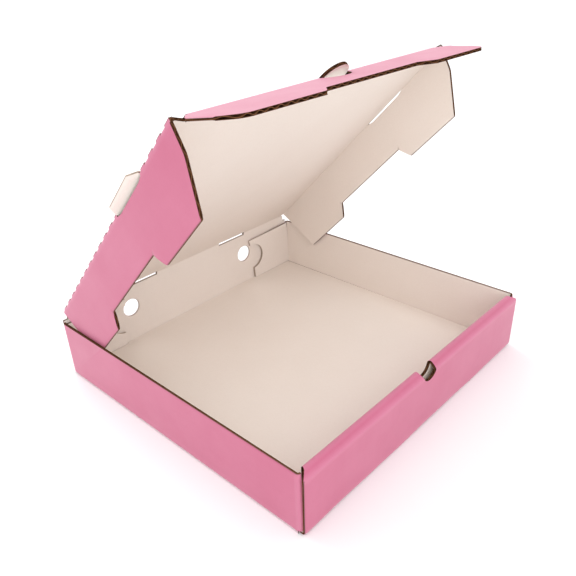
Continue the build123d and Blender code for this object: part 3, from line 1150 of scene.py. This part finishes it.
lidRegions = [panelRegion()]
for side in (-1, 1):
    lidRegions += [sideFlapRegion(side), ventTabRegion(side)] + toothRegions(side)
lidBoard = boardPiece("lidBoard", lidRegions)
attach(lidBoard, "lid")
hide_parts("lid")

# Front flap, flat, on its own fold
flap = {
    "angle": 39.3,
    "twist": 1.1,
    "twistSpan": 100,
    "twistRun": 12,
    "depth": 36.6,
    "waistDepth": 28.8,
    "waist": 78.0,
    "waistRun": 8.5,
    "shoulderDepth": 9.0,
    "sideClear": 0.4,
    "toeInset": 9.8,
    "taper": 3.0,
    "hipDepth": 24.0,
    "corner": 8.0,
    "stepCorner": 1.0,
    "crushFrom": 1,
    # how far the painted highlight and shade run from the fold; the mesh is also cut there
    "foldLightReach": 1.5,
    "cutStep": 16.0,
    "cutDepths": (6.0, 12.0, 22.0),
}
flapFold = lidPlace @ Matrix.Translation((0, -lidLength, 0))
flapPlace = flapFold @ Matrix.Rotation(math.radians(flap["angle"]), 4, "X")


# The flap is twisted a little: it hangs lower towards its right end
def onFlap(x, y, z):
    turn = flap["angle"] + flap["twist"] * x / flap["twistSpan"] * min(1.0, -y / flap["twistRun"])
    return flapFold @ Matrix.Rotation(math.radians(turn), 4, "X") @ Vector((x, y, z))


def flapRegion():
    side = lidHalf - board["thickness"] - flap["sideClear"]
    waist = flap["waist"] / 2
    reach = lid["creaseReach"]
    slope = (side - foldHalf) / flap["shoulderDepth"]
    cut = lid["pullRadius"] + lid["kerf"]
    start = math.degrees(math.asin(reach / cut))
    edge = roundCorners([
        (foldHalf + slope * reach, -reach),
        (side, -flap["shoulderDepth"]),
        (side - flap["taper"], -flap["hipDepth"]),
        (side - flap["toeInset"], -flap["depth"]),
        (waist + flap["waistRun"], -flap["depth"]),
        (waist, -flap["waistDepth"]),
        (0, -flap["waistDepth"]),
    ], [flap["corner"] / 4, flap["corner"], flap["corner"], flap["stepCorner"], flap["stepCorner"]])
    right = arcPoints((0, 0), cut, -90, -start, 16) + edge[:-1]
    ends = [((side, -flap["shoulderDepth"] - flap["crushFrom"]), (side - flap["taper"], -flap["hipDepth"]))]
    count = int(side / flap["cutStep"])
    cutsX = [k * flap["cutStep"] for k in range(-count, count + 1)]
    return {
        "outline": right + mirrored(right)[:-1],
        "crushed": onSide(-1, ends) + onSide(1, ends),
        "place": onFlap,
        # painted highlight and shade beside the fold
        "crease": lambda x, y: max(0.0, 1 + (y + reach) / flap["foldLightReach"]),
        "cuts": (cutsX, [-reach - flap["foldLightReach"]] + [-depth for depth in flap["cutDepths"]]),
    }


flapBoard = boardPiece("flapBoard", [flapRegion()])
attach(flapBoard, "front_flap")
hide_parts("front_flap")

# Strips of the same board over the two creases that swing, bent to the lid's and the front flap's present
# angles
def creaseStrip(name, line, spans):
    chain = foldChain(line, -1)

    def place(x, y, offset):
        point = alongChain(chain, y, offset)
        return Vector((x, point.x, point.y))

    regions = [
        {
            "outline": [(low, 0.0), (high, 0.0), (high, chain["total"]), (low, chain["total"])],
            "place": place,
            # painted highlight and shade over the whole strip
            "crease": lambda x, y: lid["stripLightAndShade"],
            "cuts": ([], chain["cuts"]),
        }
        for low, high in spans
    ]
    strip = boardPiece(name, regions)
    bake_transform(strip)
    return strip


def inSection(point):
    return (point.y, point.z)


slotInner, slotOuter = tray["hingeSlot"][:2]
hingeEnd = lidHalf - lid["reliefWidth"]
hingeSpans = [(-slotInner, slotInner), (slotOuter, hingeEnd), (-hingeEnd, -slotOuter)]
hingeAxis = hingePoint / mm
hingeCrease = creaseStrip("hingeCrease", [
    (hingeAxis.y, wallTop),
    inSection(hingeAxis),
    inSection(onLid(0, -lid["creaseReach"], 0)),
], hingeSpans)
foldSpans = [(lid["pullRadius"] + lid["kerf"], foldHalf - lid["kerf"])]
foldSpans += [(-high, -low) for low, high in foldSpans]
foldCrease = creaseStrip("foldCrease", [
    inSection(onLid(0, lid["creaseReach"] - lidLength, 0)),
    inSection(flapPoint / mm),
    inSection(flapPlace @ Vector((0, -lid["creaseReach"], 0))),
], foldSpans)

# Floor, light and camera
studio = {
    "lens": 39.873,
    "azimuth": -45.813,
    "elevation": 28.915,
    "roll": -2.841,
    "position": (-0.277024, -0.267275, 0.271225),
    "floorSize": 6.0,
    "floorDrop": 0.0002,
    "worldStrength": 1.1,
}


def cameraMatrix():
    azimuth, elevation, roll = (math.radians(studio[key]) for key in ("azimuth", "elevation", "roll"))
    back = Vector((
        math.sin(azimuth) * math.cos(elevation),
        -math.cos(azimuth) * math.cos(elevation),
        math.sin(elevation),
    ))
    right = (-back).cross(Vector((0, 0, 1))).normalized()
    up = right.cross(-back)
    right, up = right * math.cos(roll) + up * math.sin(roll), up * math.cos(roll) - right * math.sin(roll)
    turned = Matrix((right, up, back)).transposed().to_4x4()
    return Matrix.Translation(studio["position"]) @ turned


scene = bpy.context.scene
camera = bpy.data.objects.new("camera", bpy.data.cameras.new("camera"))
camera.data.lens = studio["lens"]
camera.data.sensor_width = 36.0
camera.data.clip_start = 0.01
camera.matrix_world = cameraMatrix()
scene.collection.objects.link(camera)
scene.camera = camera
scene.view_settings.view_transform = "Standard"

floorMesh = bpy.data.meshes.new("floor")
floorReach = studio["floorSize"] / 2
floorCorners = [(x * floorReach, y * floorReach, 0) for x, y in ((-1, -1), (1, -1), (1, 1), (-1, 1))]
floorMesh.from_pydata(floorCorners, [], [(0, 1, 2, 3)])
floor = bpy.data.objects.new("floor", floorMesh)
floor.location.z = -studio["floorDrop"]
scene.collection.objects.link(floor)
floorPaint = bpy.data.materials.new("floorPaint")
floorPaint.use_nodes = True
floorShader = floorPaint.node_tree.nodes["Principled BSDF"]
floorShader.inputs["Base Color"].default_value = (0.93, 0.93, 0.93, 1)
floorShader.inputs["Roughness"].default_value = 0.9
floorMesh.materials.append(floorPaint)

world = bpy.data.worlds.new("studio")
world.use_nodes = True
world.node_tree.nodes["Background"].inputs["Color"].default_value = (1, 1, 1, 1)
world.node_tree.nodes["Background"].inputs["Strength"].default_value = studio["worldStrength"]
scene.world = world


def softLight(name, position, target, size, power):
    light = bpy.data.lights.new(name, "AREA")
    light.size = size
    light.energy = power
    made = bpy.data.objects.new(name, light)
    made.location = position
    made.rotation_euler = (Vector(target) - Vector(position)).to_track_quat("-Z", "Y").to_euler()
    scene.collection.objects.link(made)


softLight("keyLight", position=(-0.7, -1.1, 0.95), target=(0, 0.04, 0.09), size=1.3, power=6.5)
softLight("topLight", position=(0.1, 1.0, 1.2), target=(0, -0.06, 0.19), size=1.0, power=9)
print("studio made")
